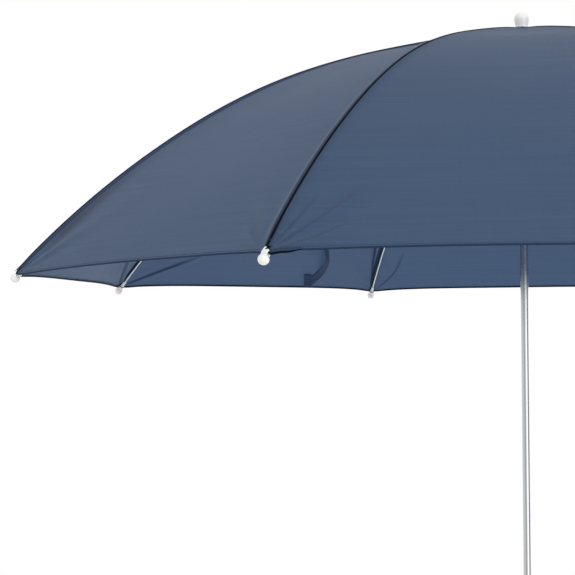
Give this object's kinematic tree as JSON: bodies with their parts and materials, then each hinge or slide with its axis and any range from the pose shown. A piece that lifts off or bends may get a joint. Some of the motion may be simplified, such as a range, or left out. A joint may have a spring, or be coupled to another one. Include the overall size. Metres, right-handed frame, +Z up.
{
  "type": "patio umbrella with base",
  "caption": "Folding eight-panel patio umbrella on a two-piece telescopic pole, clamped in a round weighted base with a stem.",
  "frame": {"origin": "centre of the base's underside, on the floor", "axes": "+Z up along the pole; rib 1 points 22.5 degrees from +X towards +Y; the clamp screws point along +X"},
  "size_m": [1.8752, 1.8752, 2.0878],
  "materials": {
    "concrete": "matte",
    "rubber": "matte",
    "base_paint": "satin",
    "zinc_steel": "satin",
    "black_plastic": "matte",
    "pole_chrome": "polished",
    "white_plastic": "satin",
    "spring_steel": "satin",
    "canopy_cloth": "matte",
    "rib_steel": "satin"
  },
  "bodies": {
    "base": {"base_weight": "concrete", "base_feet": "rubber", "base_flange": "base_paint", "flange_bolts": "zinc_steel", "base_stem": "base_paint", "stem_nut": "base_paint", "base_cup": "black_plastic"},
    "clamp_screw": {"clamp_screw": "zinc_steel"},
    "clamp_knob": {"clamp_knob": "black_plastic"},
    "pole_bush": {"pole_bush": "black_plastic"},
    "lower_pole": {"lower_pole": "pole_chrome", "pole_foot": "black_plastic", "pole_collar": "black_plastic"},
    "collar_screw": {"collar_screw": "zinc_steel"},
    "collar_knob": {"collar_knob": "black_plastic"},
    "upper_pole": {"upper_pole": "pole_chrome", "pole_guide": "black_plastic", "top_notch": "white_plastic", "notch_wire": "spring_steel", "finial": "white_plastic", "crown_patch": "canopy_cloth"},
    "runner": {"runner": "white_plastic"},
    "runner_catch": {"runner_catch": "spring_steel"},
    "rib_1": {"rib_1": "rib_steel", "rib_tip_1": "white_plastic", "gore_1": "canopy_cloth"},
    "strut_1": {"strut_1": "rib_steel"},
    "rib_2": {"rib_2": "rib_steel", "rib_tip_2": "white_plastic", "gore_2": "canopy_cloth"},
    "strut_2": {"strut_2": "rib_steel"},
    "rib_3": {"rib_3": "rib_steel", "rib_tip_3": "white_plastic", "gore_3": "canopy_cloth", "tie_strap": "canopy_cloth"},
    "strut_3": {"strut_3": "rib_steel"},
    "rib_4": {"rib_4": "rib_steel", "rib_tip_4": "white_plastic", "gore_4": "canopy_cloth"},
    "strut_4": {"strut_4": "rib_steel"},
    "rib_5": {"rib_5": "rib_steel", "rib_tip_5": "white_plastic", "gore_5": "canopy_cloth"},
    "strut_5": {"strut_5": "rib_steel"},
    "rib_6": {"rib_6": "rib_steel", "rib_tip_6": "white_plastic", "gore_6": "canopy_cloth"},
    "strut_6": {"strut_6": "rib_steel"},
    "rib_7": {"rib_7": "rib_steel", "rib_tip_7": "white_plastic", "gore_7": "canopy_cloth"},
    "strut_7": {"strut_7": "rib_steel"},
    "rib_8": {"rib_8": "rib_steel", "rib_tip_8": "white_plastic", "gore_8": "canopy_cloth"},
    "strut_8": {"strut_8": "rib_steel"}
  },
  "joints": [
    {"name": "clamp_screw_travel", "type": "slide", "parent": "base", "child": "clamp_screw", "axis": [1, 0, 0], "range_m": [0, 0.005]},
    {"name": "clamp_knob_turn", "type": "hinge", "parent": "clamp_screw", "child": "clamp_knob", "pos_m": [0.047, 0, 0.3], "axis": [1, 0, 0], "range_deg": [0, 1440]},
    {"name": "pole_turn", "type": "hinge", "parent": "base", "child": "pole_bush", "pos_m": [0, 0, 0.36], "axis": [0, 0, 1], "continuous": true},
    {"name": "pole_lift", "type": "slide", "parent": "pole_bush", "child": "lower_pole", "axis": [0, 0, 1], "range_m": [0, 0.28]},
    {"name": "collar_screw_travel", "type": "slide", "parent": "lower_pole", "child": "collar_screw", "axis": [1, 0, 0], "range_m": [0, 0.003]},
    {"name": "collar_knob_turn", "type": "hinge", "parent": "collar_screw", "child": "collar_knob", "pos_m": [0.037, 0, 0.772], "axis": [1, 0, 0], "range_deg": [0, 1080]},
    {"name": "height_slide", "type": "slide", "parent": "lower_pole", "child": "upper_pole", "axis": [0, 0, 1], "range_m": [-0.25, 0]},
    {"name": "canopy_fold", "type": "slide", "parent": "upper_pole", "child": "runner", "axis": [0, 0, 1], "range_m": [-0.6494, 0], "deforming": ["gore_1", "gore_2", "gore_3", "gore_4", "gore_5", "gore_6", "gore_7", "gore_8", "tie_strap", "runner_catch"]},
    {"name": "catch_press", "type": "slide", "parent": "upper_pole", "child": "runner_catch", "axis": [1, 0, 0], "range_m": [-0.003, 0], "stiffness_N_per_m": 400},
    {"name": "rib_1_fold", "type": "hinge", "parent": "upper_pole", "child": "rib_1", "pos_m": [0.01386, 0.00574, 2.04286], "axis": [-0.3827, 0.9239, 0], "range_deg": [0, 58.7]},
    {"name": "strut_1_swing", "type": "hinge", "parent": "rib_1", "child": "strut_1", "pos_m": [0.42185, 0.17474, 1.93385], "axis": [-0.3827, 0.9239, 0], "range_deg": [-117.4, 0]},
    {"name": "rib_2_fold", "type": "hinge", "parent": "upper_pole", "child": "rib_2", "pos_m": [0.00574, 0.01386, 2.04286], "axis": [-0.9239, 0.3827, 0], "range_deg": [0, 58.7]},
    {"name": "strut_2_swing", "type": "hinge", "parent": "rib_2", "child": "strut_2", "pos_m": [0.17474, 0.42185, 1.93385], "axis": [-0.9239, 0.3827, 0], "range_deg": [-117.4, 0]},
    {"name": "rib_3_fold", "type": "hinge", "parent": "upper_pole", "child": "rib_3", "pos_m": [-0.00574, 0.01386, 2.04286], "axis": [-0.9239, -0.3827, 0], "range_deg": [0, 58.7]},
    {"name": "strut_3_swing", "type": "hinge", "parent": "rib_3", "child": "strut_3", "pos_m": [-0.17474, 0.42185, 1.93385], "axis": [-0.9239, -0.3827, 0], "range_deg": [-117.4, 0]},
    {"name": "rib_4_fold", "type": "hinge", "parent": "upper_pole", "child": "rib_4", "pos_m": [-0.01386, 0.00574, 2.04286], "axis": [-0.3827, -0.9239, 0], "range_deg": [0, 58.7]},
    {"name": "strut_4_swing", "type": "hinge", "parent": "rib_4", "child": "strut_4", "pos_m": [-0.42185, 0.17474, 1.93385], "axis": [-0.3827, -0.9239, 0], "range_deg": [-117.4, 0]},
    {"name": "rib_5_fold", "type": "hinge", "parent": "upper_pole", "child": "rib_5", "pos_m": [-0.01386, -0.00574, 2.04286], "axis": [0.3827, -0.9239, 0], "range_deg": [0, 58.7]},
    {"name": "strut_5_swing", "type": "hinge", "parent": "rib_5", "child": "strut_5", "pos_m": [-0.42185, -0.17474, 1.93385], "axis": [0.3827, -0.9239, 0], "range_deg": [-117.4, 0]},
    {"name": "rib_6_fold", "type": "hinge", "parent": "upper_pole", "child": "rib_6", "pos_m": [-0.00574, -0.01386, 2.04286], "axis": [0.9239, -0.3827, 0], "range_deg": [0, 58.7]},
    {"name": "strut_6_swing", "type": "hinge", "parent": "rib_6", "child": "strut_6", "pos_m": [-0.17474, -0.42185, 1.93385], "axis": [0.9239, -0.3827, 0], "range_deg": [-117.4, 0]},
    {"name": "rib_7_fold", "type": "hinge", "parent": "upper_pole", "child": "rib_7", "pos_m": [0.00574, -0.01386, 2.04286], "axis": [0.9239, 0.3827, 0], "range_deg": [0, 58.7]},
    {"name": "strut_7_swing", "type": "hinge", "parent": "rib_7", "child": "strut_7", "pos_m": [0.17474, -0.42185, 1.93385], "axis": [0.9239, 0.3827, 0], "range_deg": [-117.4, 0]},
    {"name": "rib_8_fold", "type": "hinge", "parent": "upper_pole", "child": "rib_8", "pos_m": [0.01386, -0.00574, 2.04286], "axis": [0.3827, 0.9239, 0], "range_deg": [0, 58.7]},
    {"name": "strut_8_swing", "type": "hinge", "parent": "rib_8", "child": "strut_8", "pos_m": [0.42185, -0.17474, 1.93385], "axis": [0.3827, 0.9239, 0], "range_deg": [-117.4, 0]}
  ],
  "couplings": [
    {"joint": "clamp_screw_travel", "follows": "clamp_knob_turn", "m_per_rad": 0.00019894},
    {"joint": "collar_screw_travel", "follows": "collar_knob_turn", "m_per_rad": 0.00015915},
    {"joint": "rib_1_fold", "follows": "canopy_fold", "rad_per_m": -1.5749},
    {"joint": "strut_1_swing", "follows": "canopy_fold", "rad_per_m": 3.1499},
    {"joint": "rib_2_fold", "follows": "canopy_fold", "rad_per_m": -1.5749},
    {"joint": "strut_2_swing", "follows": "canopy_fold", "rad_per_m": 3.1499},
    {"joint": "rib_3_fold", "follows": "canopy_fold", "rad_per_m": -1.5749},
    {"joint": "strut_3_swing", "follows": "canopy_fold", "rad_per_m": 3.1499},
    {"joint": "rib_4_fold", "follows": "canopy_fold", "rad_per_m": -1.5749},
    {"joint": "strut_4_swing", "follows": "canopy_fold", "rad_per_m": 3.1499},
    {"joint": "rib_5_fold", "follows": "canopy_fold", "rad_per_m": -1.5749},
    {"joint": "strut_5_swing", "follows": "canopy_fold", "rad_per_m": 3.1499},
    {"joint": "rib_6_fold", "follows": "canopy_fold", "rad_per_m": -1.5749},
    {"joint": "strut_6_swing", "follows": "canopy_fold", "rad_per_m": 3.1499},
    {"joint": "rib_7_fold", "follows": "canopy_fold", "rad_per_m": -1.5749},
    {"joint": "strut_7_swing", "follows": "canopy_fold", "rad_per_m": 3.1499},
    {"joint": "rib_8_fold", "follows": "canopy_fold", "rad_per_m": -1.5749},
    {"joint": "strut_8_swing", "follows": "canopy_fold", "rad_per_m": 3.1499}
  ]
}
